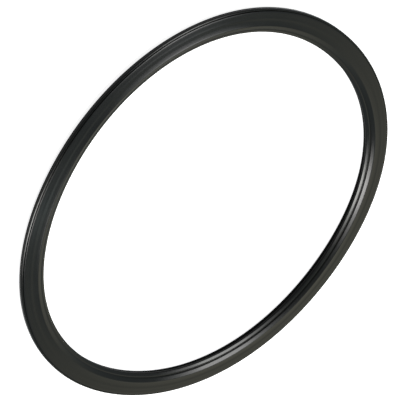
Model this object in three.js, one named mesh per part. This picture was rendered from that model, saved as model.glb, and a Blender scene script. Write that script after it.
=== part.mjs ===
// Sealing ring of a stovetop pressure cooker: one closed loop of moulded black rubber.
//
// Millimetres, +Z up. The ring lies flat with its front face up. The origin is the centre
// of the ring in the plane of its rear land, and Z is the ring's own axis.
//
// The ring is one cross-section turned about Z. A place in the section is given by its
// inset, measured inwards from the ring's outer wall, and its height above the rear land.
// A round in the section is given by the inset and height of its centre, and its radius.

import * as THREE from "three";

// Whole ring
const OUTER_DIAMETER = 240;
const HEIGHT = 5.9;
const SEGMENTS = 96;

// Outer rim: a bead with a sloping top on the edge of the flange, then a notch and the
// rounded shoulder where the front face starts
const FLANGE_UNDERSIDE = 1.8;
const RIM_LOWER_RADIUS = 0.5;
const BEAD_OUTSIDE = { inset: 0.35, height: 3.85, radius: 0.35 };
const BEAD_INSIDE = { inset: 0.72, height: 4.18, radius: 0.22 };
const SHOULDER = { inset: 1.5, height: 4.42, radius: 0.4 };

// Front face: a shallow cone up to a narrow flat crest, a bevel and a steeper knee
const CREST_START = 9.2;
const CREST_END = 9.8;
const BEVEL_END = 11.4;
const BEVEL_DEGREES = 25;
const KNEE_END = 12.1;
const KNEE_DEGREES = 44;

// Upper lip, from its rounded root to its rounded tip, and lower lip below the channel
const LIP_ROOT = { inset: 12.66, height: 3.68, radius: 0.87 };
const LIP_TIP = { inset: 13.82, height: 3.36, radius: 0.68 };
const LIP_START_DEGREES = 96;
const LOWER_LIP_RADIUS = 1.1;
const LOWER_LIP = { inset: 13.05, height: LOWER_LIP_RADIUS, radius: LOWER_LIP_RADIUS };
const CHANNEL_END_INSET = 8.9;

// Rear: the flange steps down to the flat land that the ring lies on
const STEP_RADIUS = 0.6;
const STEP_INSET = 7.3;

function at(inset, height) {
  return new THREE.Vector2(OUTER_DIAMETER / 2 - inset, height);
}

// Points of a round in the section. At 0 degrees it faces the ring's axis, at 90 degrees it
// faces up and at 180 degrees it faces outwards.
function arc(round, fromDegrees, toDegrees, steps) {
  const points = [];
  for (let step = 0; step <= steps; step += 1) {
    const turn = (step / steps) * (toDegrees - fromDegrees) + fromDegrees;
    const angle = THREE.MathUtils.degToRad(turn);
    const inset = round.inset + round.radius * Math.cos(angle);
    points.push(at(inset, round.height + round.radius * Math.sin(angle)));
  }
  return points;
}

// Two rounds joined by the flat that touches them both from above
function bridged(first, last, fromDegrees, toDegrees, firstSteps, lastSteps) {
  const run = last.inset - first.inset;
  const rise = last.height - first.height;
  const lean = Math.acos((first.radius - last.radius) / Math.hypot(run, rise));
  const flat = THREE.MathUtils.radToDeg(Math.atan2(rise, run) + lean);
  const start = arc(first, fromDegrees, flat, firstSteps);
  return [...start, ...arc(last, flat, toDegrees, lastSteps)];
}

// Lower corner of the rim, the bead on its top, the notch and the shoulder
function outerRim() {
  const corner = {
    inset: RIM_LOWER_RADIUS,
    height: FLANGE_UNDERSIDE + RIM_LOWER_RADIUS,
    radius: RIM_LOWER_RADIUS,
  };
  return [
    ...arc(corner, 270, 180, 2),
    ...bridged(BEAD_OUTSIDE, BEAD_INSIDE, 180, 0, 3, 2),
    ...arc(SHOULDER, 180, 105, 3),
  ];
}

// Crest, bevel and knee, down to the crease where the upper lip begins
function crestAndKnee() {
  const bevelDrop = (BEVEL_END - CREST_END) * Math.tan(THREE.MathUtils.degToRad(BEVEL_DEGREES));
  const kneeDrop = (KNEE_END - BEVEL_END) * Math.tan(THREE.MathUtils.degToRad(KNEE_DEGREES));
  return [
    at(CREST_START, HEIGHT),
    at(CREST_END, HEIGHT),
    at(BEVEL_END, HEIGHT - bevelDrop),
    at(KNEE_END, HEIGHT - bevelDrop - kneeDrop),
  ];
}

// Upper lip, channel and lower lip, down to the edge of the rear land
function innerLips() {
  const floor = 2 * LOWER_LIP_RADIUS;
  const gap = LIP_TIP.height - LIP_TIP.radius - floor;
  const channel = { inset: CHANNEL_END_INSET, height: floor + gap / 2, radius: gap / 2 };
  return [
    ...bridged(LIP_ROOT, LIP_TIP, LIP_START_DEGREES, -90, 2, 6),
    ...arc(channel, 90, 270, 3),
    ...arc(LOWER_LIP, 90, -90, 5),
  ];
}

// Outer edge of the rear land and the step up to the underside of the flange
function rearStep() {
  const edge = { inset: STEP_INSET + STEP_RADIUS, height: STEP_RADIUS, radius: STEP_RADIUS };
  const cove = {
    inset: STEP_INSET - STEP_RADIUS,
    height: FLANGE_UNDERSIDE - STEP_RADIUS,
    radius: STEP_RADIUS,
  };
  return [...arc(edge, 270, 180, 2), ...arc(cove, 0, 90, 2)];
}

function sealingRing() {
  const section = [...outerRim(), ...crestAndKnee(), ...innerLips(), ...rearStep()];
  section.push(section[0].clone());
  const geometry = new THREE.LatheGeometry(section, SEGMENTS);
  geometry.rotateX(Math.PI / 2);
  const rubber = new THREE.MeshStandardMaterial({ color: 0x1b1c1c, roughness: 0.38, metalness: 0 });
  const mesh = new THREE.Mesh(geometry, rubber);
  mesh.name = "sealing_ring";
  return mesh;
}

const ring = new THREE.Group();
ring.add(sealingRing());

export default ring;
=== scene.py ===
"""Looks of a stovetop pressure cooker's sealing ring: one loop of moulded black rubber.

The visible ring has the CAD ring's section, with finer rounds and the small marks of moulding.
It lies loose, so its outline isn't quite a circle. Lengths in the section are millimetres, and
everything placed is in metres.
"""

import math

import bmesh
import bpy
from mathutils import Matrix, Vector


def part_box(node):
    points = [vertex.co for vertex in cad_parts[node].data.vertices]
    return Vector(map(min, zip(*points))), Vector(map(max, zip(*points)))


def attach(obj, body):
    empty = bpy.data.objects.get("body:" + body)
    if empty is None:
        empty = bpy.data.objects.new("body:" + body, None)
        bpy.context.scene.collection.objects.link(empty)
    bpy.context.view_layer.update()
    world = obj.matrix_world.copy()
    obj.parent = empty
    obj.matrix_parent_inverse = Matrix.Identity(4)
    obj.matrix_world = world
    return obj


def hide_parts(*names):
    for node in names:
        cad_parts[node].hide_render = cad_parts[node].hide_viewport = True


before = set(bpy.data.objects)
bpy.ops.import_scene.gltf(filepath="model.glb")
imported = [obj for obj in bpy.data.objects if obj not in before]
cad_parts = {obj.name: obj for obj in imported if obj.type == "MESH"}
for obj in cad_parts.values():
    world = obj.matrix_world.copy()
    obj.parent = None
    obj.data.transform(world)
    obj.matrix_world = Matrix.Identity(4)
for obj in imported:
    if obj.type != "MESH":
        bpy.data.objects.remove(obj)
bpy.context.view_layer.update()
NODE = "sealing_ring"
node_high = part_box(NODE)[1]

MM = 0.001
OUTER_RADIUS = node_high.x / MM
HEIGHT = node_high.z / MM
RING_STEPS = 640

# The section is drawn in insets from the outer wall and heights above the rear land. A round is
# the inset and the height of its centre, and its radius.

# Outer rim: its lower corner, the two rounds of the bead, the notch, and the rounded shoulder
FLANGE_UNDERSIDE = 1.8
RIM_LOWER_RADIUS = 0.5
BEAD = ((0.35, 3.85, 0.35), (0.72, 4.18, 0.22))
NOTCH = (1.04, 4.06, 0.1)
SHOULDER_RADIUS = 0.4

# Front face: insets, and the slope of the face there in degrees
FACE = (
    (1.4, 16), (1.7, 12), (2.1, 7),  # off the shoulder
    (3.6, 6), (4.8, 9), (5.9, 1), (7.0, 8),  # two shallow waves
    (8.8, 11), (9.5, 15), (9.75, -18),  # up to the crest and over it
    (10.25, -25), (11.4, -25),  # bevel
    (11.75, -38), (12.1, -46),  # knee
)
FACE_STEP = 0.24
CREASE_RADIUS = 0.12

# Upper lip, from its rounded root to its rounded tip, and lower lip below the channel
UPPER_LIP = ((12.66, 3.68, 0.87), (13.82, 3.36, 0.68))
UPPER_LIP_START_DEGREES = 96
LOWER_LIP = (13.05, 1.1, 1.1)
CHANNEL_END_INSET = 8.9

# Rear: the step from the flange down to the land that the ring lies on
STEP_RADIUS = 0.6
STEP_INSET = 7.3

# How the loose ring strays from a circle: lobes, height of a lobe in millimetres, and the
# direction of a peak in degrees
FLEX = ((2, 2.39, 44.7), (3, 0.73, 13.4), (4, 0.67, 67.8), (5, 0.17, 7.3))

# Camera: a long lens that looks down on the ring, rolled as a catalogue picture is turned
VIEW_AZIMUTH = math.radians(12)
VIEW_ELEVATION = math.radians(41.92)
CAMERA_DISTANCE = 2.4
CAMERA_SENSOR = 36
CAMERA_ROLL = math.radians(133.2)
FRAME_WIDTH = 0.2175
AIM_HEIGHT = 0.00445
AIM_RIGHT = -0.00369
AIM_UP = 0.00389

# Floor: a wide disc that sweeps up into a wall
FLOOR_RADIUS = 3.5
FLOOR_SIDES = 96
SWEEP_RADIUS = 1.0
SWEEP_STEPS = 12
WALL_HEIGHT = 4.0
FLOOR_GLOW = 0.9

# Sky: how far round from the camera's side to the backdrop, from 0 to 1, and the colour there
SKY = (
    (0.3, (0.027, 0.031, 0.034)),
    (0.45, (0.053, 0.061, 0.066)),
    (0.62, (0.21, 0.23, 0.235)),
    (0.88, (0.3, 0.345, 0.35)),
    (1.0, (0.67, 0.655, 0.53)),
)
BACKDROP_RISE = math.radians(15)

# Lights: a soft box is nested panels, each a share of its full width and length
LIGHT_DISTANCE = 1.6
PANEL_SHARES = (1.15, 0.85, 0.55)
PANEL_GAP = 0.01

# Rubber: its even colour and gloss, the scales of its marks, and how far they vary it
RUBBER_COLOR = (0.0045, 0.0047, 0.0045, 1)
RUBBER_ROUGHNESS = 0.17
RUBBER_IOR = 1.52
MOTTLE_SCALE = 90
GRAIN_SCALE = 2600
LINE_SCALE = 3.2
MOTTLE_ROUGHNESS = (0.155, 0.185)
LINE_ROUGHNESS = (-0.012, 0.012)
MOTTLE_COLORS = ((0.0038, 0.0042, 0.0038, 1), (0.0052, 0.0055, 0.005, 1))
MARK_DEPTH = 0.00001
MARK_STRENGTH = 0.2
USUAL_NOISE = (0.3, 0.7)


def arc(inset, height, radius, start, end, steps):
    """Points of a round in the section; 0 degrees faces the ring's axis and 90 faces up."""
    turns = [math.radians(start + (end - start) * step / steps) for step in range(steps + 1)]
    return [(inset + radius * math.cos(t), height + radius * math.sin(t)) for t in turns]


def bridged(first, last, start, end):
    """Two rounds joined by the flat that touches both from above."""
    run, rise = last[0] - first[0], last[1] - first[1]
    lean = math.acos((first[2] - last[2]) / math.hypot(run, rise))
    flat = math.degrees(math.atan2(rise, run) + lean)
    return arc(*first, start, flat, 8) + arc(*last, flat, end, 12)


def front_face():
    """Points from the shoulder to the crease, with the crest at the full height."""
    points = [(FACE[0][0], 0)]
    for (start, first), (end, last) in zip(FACE, FACE[1:]):
        steps = math.ceil((end - start) / FACE_STEP)
        width = (end - start) / steps
        for step in range(steps):
            slope = math.radians(first + (last - first) * (step + 0.5) / steps)
            inset, height = points[-1]
            points.append((inset + width, height + width * math.tan(slope)))
    lift = HEIGHT - max(height for inset, height in points)
    return [(inset, height + lift) for inset, height in points]


def outer_rim(face_start):
    """Lower corner, bead, notch, and the shoulder, which ends just short of the front face."""
    inset, height = face_start
    face_degrees = FACE[0][1]
    slope = math.radians(face_degrees)
    corner = (RIM_LOWER_RADIUS, FLANGE_UNDERSIDE + RIM_LOWER_RADIUS, RIM_LOWER_RADIUS)
    shoulder = (inset + SHOULDER_RADIUS * math.sin(slope), height - SHOULDER_RADIUS * math.cos(slope),
                SHOULDER_RADIUS)
    return (arc(*corner, 270, 180, 4) + bridged(*BEAD, 180, 15) + arc(*NOTCH, 200, 340, 3)
            + arc(*shoulder, 180, 92 + face_degrees, 6))


def inner_lips():
    """Upper lip, channel and lower lip, down to the rear land."""
    tip_height, tip_radius = UPPER_LIP[1][1:]
    floor = LOWER_LIP[1] + LOWER_LIP[2]
    half_gap = (tip_height - tip_radius - floor) / 2
    channel = (CHANNEL_END_INSET, floor + half_gap, half_gap)
    return (bridged(*UPPER_LIP, UPPER_LIP_START_DEGREES, -90) + arc(*channel, 90, 270, 5)
            + arc(*LOWER_LIP, 90, -90, 12))


def rear_step():
    """Outer edge of the rear land and the step up to the underside of the flange."""
    edge = (STEP_INSET + STEP_RADIUS, STEP_RADIUS, STEP_RADIUS)
    cove = (STEP_INSET - STEP_RADIUS, FLANGE_UNDERSIDE - STEP_RADIUS, STEP_RADIUS)
    return arc(*edge, 270, 180, 4) + arc(*cove, 0, 90, 4)


def section():
    """The closed outline, from the lower corner of the rim over the front and back to it."""
    face = front_face()
    inset, height = face[-1]
    crease = (inset + CREASE_RADIUS, height, CREASE_RADIUS)
    return outer_rim(face[0]) + face + arc(*crease, 225, 280, 2) + inner_lips() + rear_step()


def strayed(angle):
    """How far the ring's wall stands out from a circle at this angle, in millimetres."""
    return sum(peak * math.cos(lobes * (angle - math.radians(direction)))
               for lobes, peak, direction in FLEX)


def fit_to_frame(mesh):
    """Centres the flexed ring on the CAD ring and keeps it inside the CAD ring's box."""
    low = [min(vert.co[axis] for vert in mesh.verts) for axis in range(2)]
    high = [max(vert.co[axis] for vert in mesh.verts) for axis in range(2)]
    scale = min(2 * OUTER_RADIUS * MM / (high[axis] - low[axis]) for axis in range(2))
    for vert in mesh.verts:
        for axis in range(2):
            vert.co[axis] = (vert.co[axis] - (low[axis] + high[axis]) / 2) * scale


def smooth_object(name, mesh):
    """A smooth-shaded object in the scene, made of this mesh."""
    for polygon in mesh.faces:
        polygon.smooth = True
    data = bpy.data.meshes.new(name)
    mesh.to_mesh(data)
    mesh.free()
    piece = bpy.data.objects.new(name, data)
    bpy.context.scene.collection.objects.link(piece)
    return piece


def make_ring():
    """The section swept round the flexed ring; its "across" layer is the distance along the outline."""
    outline = section()
    travelled = [0.0]
    for here, there in zip(outline, outline[1:]):
        travelled.append(travelled[-1] + math.dist(here, there))
    mesh = bmesh.new()
    across = mesh.verts.layers.float.new("across")
    loops = []
    for step in range(RING_STEPS):
        angle = 2 * math.pi * step / RING_STEPS
        wall = OUTER_RADIUS + strayed(angle)
        outwards = Vector((math.cos(angle), math.sin(angle), 0))
        loop = [mesh.verts.new((outwards * (wall - inset) + Vector((0, 0, height))) * MM)
                for inset, height in outline]
        for vert, distance in zip(loop, travelled):
            vert[across] = distance
        loops.append(loop)
    for here, there in zip(loops, loops[1:] + loops[:1]):
        for place, vert in enumerate(here):
            after = (place + 1) % len(here)
            mesh.faces.new((vert, there[place], there[after], here[after]))
    bmesh.ops.recalc_face_normals(mesh, faces=mesh.faces)
    fit_to_frame(mesh)
    return smooth_object("sealing_ring_rubber", mesh)


def rubber():
    """Satin black rubber, whose highlights stretch round the ring as they do off a turned mould."""
    material = bpy.data.materials.new("moulded_black_rubber")
    material.use_nodes = True
    nodes, links = material.node_tree.nodes, material.node_tree.links
    shader = nodes["Principled BSDF"]
    shader.inputs["Base Color"].default_value = RUBBER_COLOR
    shader.inputs["Roughness"].default_value = RUBBER_ROUGHNESS
    shader.inputs["IOR"].default_value = RUBBER_IOR
    shader.inputs["Anisotropic"].default_value = 0.5
    shader.inputs["Anisotropic Rotation"].default_value = 0.25
    around = nodes.new("ShaderNodeTangent")
    around.direction_type = "RADIAL"
    around.axis = "Z"
    links.new(around.outputs["Tangent"], shader.inputs["Tangent"])

    def noise(scale, detail, dimensions, place):
        texture = nodes.new("ShaderNodeTexNoise")
        texture.noise_dimensions = dimensions
        texture.inputs["Scale"].default_value = scale
        texture.inputs["Detail"].default_value = detail
        links.new(place, texture.inputs["W" if dimensions == "1D" else "Vector"])
        return texture.outputs["Fac"]

    def spread(value, low, high):
        """The noise's usual range, stretched to run from low to high."""
        span = nodes.new("ShaderNodeMapRange")
        for socket, limit in zip(("From Min", "From Max", "To Min", "To Max"), (*USUAL_NOISE, low, high)):
            span.inputs[socket].default_value = limit
        links.new(value, span.inputs["Value"])
        return span.outputs["Result"]

    def total(first, second):
        adding = nodes.new("ShaderNodeMath")
        links.new(first, adding.inputs[0])
        links.new(second, adding.inputs[1])
        return adding.outputs["Value"]

    place = nodes.new("ShaderNodeTexCoord").outputs["Object"]
    across = nodes.new("ShaderNodeAttribute")
    across.attribute_name = "across"
    lines = noise(LINE_SCALE, 3, "1D", across.outputs["Fac"])
    mottle = noise(MOTTLE_SCALE, 3, "3D", place)
    grain = noise(GRAIN_SCALE, 2, "3D", place)
    gloss = total(spread(mottle, *MOTTLE_ROUGHNESS), spread(lines, *LINE_ROUGHNESS))
    links.new(gloss, shader.inputs["Roughness"])

    bump = nodes.new("ShaderNodeBump")
    bump.inputs["Distance"].default_value = MARK_DEPTH
    bump.inputs["Strength"].default_value = MARK_STRENGTH
    links.new(total(spread(grain, 0, 0.5), spread(lines, 0, 1)), bump.inputs["Height"])
    links.new(bump.outputs["Normal"], shader.inputs["Normal"])

    tint = nodes.new("ShaderNodeMix")
    tint.data_type = "RGBA"
    for socket, color in zip(("A", "B"), MOTTLE_COLORS):
        tint.inputs[socket].default_value = color
    links.new(mottle, tint.inputs["Factor"])
    links.new(tint.outputs["Result"], shader.inputs["Base Color"])
    return material


def pale_floor():
    material = bpy.data.materials.new("pale_floor")
    material.use_nodes = True
    shader = material.node_tree.nodes["Principled BSDF"]
    shader.inputs["Base Color"].default_value = (0.9, 0.9, 0.9, 1)
    shader.inputs["Roughness"].default_value = 1
    shader.inputs["Emission Color"].default_value = (1, 1, 1, 1)
    shader.inputs["Emission Strength"].default_value = FLOOR_GLOW
    return material


def make_floor():
    """A round white floor that sweeps up into a wall, so that it has no edge in any view."""
    profile = [(0, 0)]
    for step in range(SWEEP_STEPS + 1):
        turn = math.radians(90 * step / SWEEP_STEPS)
        profile.append((FLOOR_RADIUS + SWEEP_RADIUS * math.sin(turn), SWEEP_RADIUS * (1 - math.cos(turn))))
    profile.append((FLOOR_RADIUS + SWEEP_RADIUS, WALL_HEIGHT))
    mesh = bmesh.new()
    verts = [mesh.verts.new((outwards, 0, height)) for outwards, height in profile]
    edges = [mesh.edges.new(pair) for pair in zip(verts, verts[1:])]
    bmesh.ops.spin(mesh, geom=verts + edges, axis=(0, 0, 1), cent=(0, 0, 0), angle=2 * math.pi,
                   steps=FLOOR_SIDES, use_merge=True)
    bmesh.ops.remove_doubles(mesh, verts=mesh.verts, dist=MM)
    floor = smooth_object("floor", mesh)
    floor.data.materials.append(pale_floor())
    floor.visible_glossy = False
    floor.visible_diffuse = False
    floor.visible_shadow = False


def make_sky():
    """A backdrop glow behind the ring that fades towards the camera, and the floor's glow."""
    world = bpy.data.worlds.new("studio")
    bpy.context.scene.world = world
    world.use_nodes = True
    nodes, links = world.node_tree.nodes, world.node_tree.links
    direction = nodes.new("ShaderNodeTexCoord").outputs["Generated"]
    facing = nodes.new("ShaderNodeVectorMath")
    facing.operation = "DOT_PRODUCT"
    facing.inputs[1].default_value = (-math.sin(VIEW_AZIMUTH) * math.cos(BACKDROP_RISE),
                                      math.cos(VIEW_AZIMUTH) * math.cos(BACKDROP_RISE),
                                      math.sin(BACKDROP_RISE))
    span = nodes.new("ShaderNodeMapRange")
    span.inputs["From Min"].default_value = -1
    ramp = nodes.new("ShaderNodeValToRGB")
    links.new(direction, facing.inputs[0])
    links.new(facing.outputs["Value"], span.inputs["Value"])
    links.new(span.outputs["Result"], ramp.inputs["Fac"])
    stops = ramp.color_ramp.elements
    for stop, (position, color) in zip(stops, (SKY[0], SKY[-1])):
        stop.position = position
        stop.color = (*color, 1)
    for position, color in SKY[1:-1]:
        stops.new(position).color = (*color, 1)
    level = nodes.new("ShaderNodeSeparateXYZ")
    links.new(direction, level.inputs["Vector"])

    def by_height(start, end, low, high):
        """A brightness that changes from low to high as a direction rises from start to end."""
        change = nodes.new("ShaderNodeMapRange")
        for socket, value in zip(("From Min", "From Max", "To Min", "To Max"), (start, end, low, high)):
            change.inputs[socket].default_value = value
        links.new(level.outputs["Z"], change.inputs["Value"])
        return change.outputs["Result"]

    def combined(operation, first, second):
        node = nodes.new("ShaderNodeVectorMath")
        node.operation = operation
        links.new(first, node.inputs[0])
        links.new(second, node.inputs[1])
        return node.outputs["Vector"]

    backdrop = combined("MULTIPLY", ramp.outputs["Color"], by_height(-0.15, 0.3, 0.65, 1))
    floor_glow = by_height(-0.7, 0, 0.37, 0)
    links.new(combined("ADD", backdrop, floor_glow), nodes["Background"].inputs["Color"])


def direction_from_camera(azimuth, rise):
    """The way that faces this azimuth, counted from the camera's side, and this rise."""
    turn = VIEW_AZIMUTH + azimuth
    return Vector((math.sin(turn) * math.cos(rise), -math.cos(turn) * math.cos(rise), math.sin(rise)))


def mirrored(azimuth, elevation):
    """Where a light stands to glint off a facet that faces this way, in degrees."""
    facet = direction_from_camera(math.radians(azimuth), math.radians(elevation))
    view = direction_from_camera(0, VIEW_ELEVATION)
    return 2 * view.dot(facet) * facet - view


def placed(where, right, up, back):
    """The matrix of something that stands here with these axes."""
    return Matrix.Translation(where) @ Matrix((right, up, back)).transposed().to_4x4()


def soft_box(name, azimuth, elevation, width, length, power, color):
    """A soft box aimed at the ring: nested oval panels, so that it is brightest in the middle."""
    away = mirrored(azimuth, elevation)
    along = (mirrored(azimuth, elevation + 1) - away).normalized()
    for layer, share in enumerate(PANEL_SHARES):
        light = bpy.data.lights.new(name, "AREA")
        light.shape = "ELLIPSE"
        light.size = width * share
        light.size_y = length * share
        light.energy = power / len(PANEL_SHARES)
        light.color = color
        lamp = bpy.data.objects.new(name, light)
        where = away * (LIGHT_DISTANCE + layer * PANEL_GAP)
        lamp.matrix_world = placed(where, along.cross(away), along, away)
        bpy.context.scene.collection.objects.link(lamp)


def make_camera():
    """A camera aimed near the ring's centre, turned about its own line of sight."""
    back = direction_from_camera(0, VIEW_ELEVATION)
    level = Vector((math.cos(VIEW_AZIMUTH), math.sin(VIEW_AZIMUTH), 0))
    rise = back.cross(level)
    right = level * math.cos(CAMERA_ROLL) + rise * math.sin(CAMERA_ROLL)
    up = rise * math.cos(CAMERA_ROLL) - level * math.sin(CAMERA_ROLL)
    aim = Vector((0, 0, AIM_HEIGHT)) + right * AIM_RIGHT + up * AIM_UP
    data = bpy.data.cameras.new("camera")
    data.sensor_width = CAMERA_SENSOR
    data.lens = CAMERA_SENSOR * CAMERA_DISTANCE / FRAME_WIDTH
    camera = bpy.data.objects.new("camera", data)
    camera.matrix_world = placed(aim + back * CAMERA_DISTANCE, right, up, back)
    bpy.context.scene.collection.objects.link(camera)
    bpy.context.scene.camera = camera


bpy.context.scene.view_settings.view_transform = "Standard"
make_camera()
make_sky()
make_floor()
soft_box("soft_box_left", -27.2, 66.8, 0.78, 1.2, 8.3, (1, 1, 0.98))
soft_box("strip_left", -34, 83, 0.1, 0.6, 0.03, (0.8, 0.96, 1))
soft_box("strip_right", 40, 83, 0.1, 0.6, 0.09, (0.8, 0.96, 1))
soft_box("soft_box_right", 36, 64.5, 0.66, 0.88, 9.3, (1, 0.99, 0.96))

ring = make_ring()
ring.data.materials.append(rubber())
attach(ring, "root")
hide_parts(NODE)
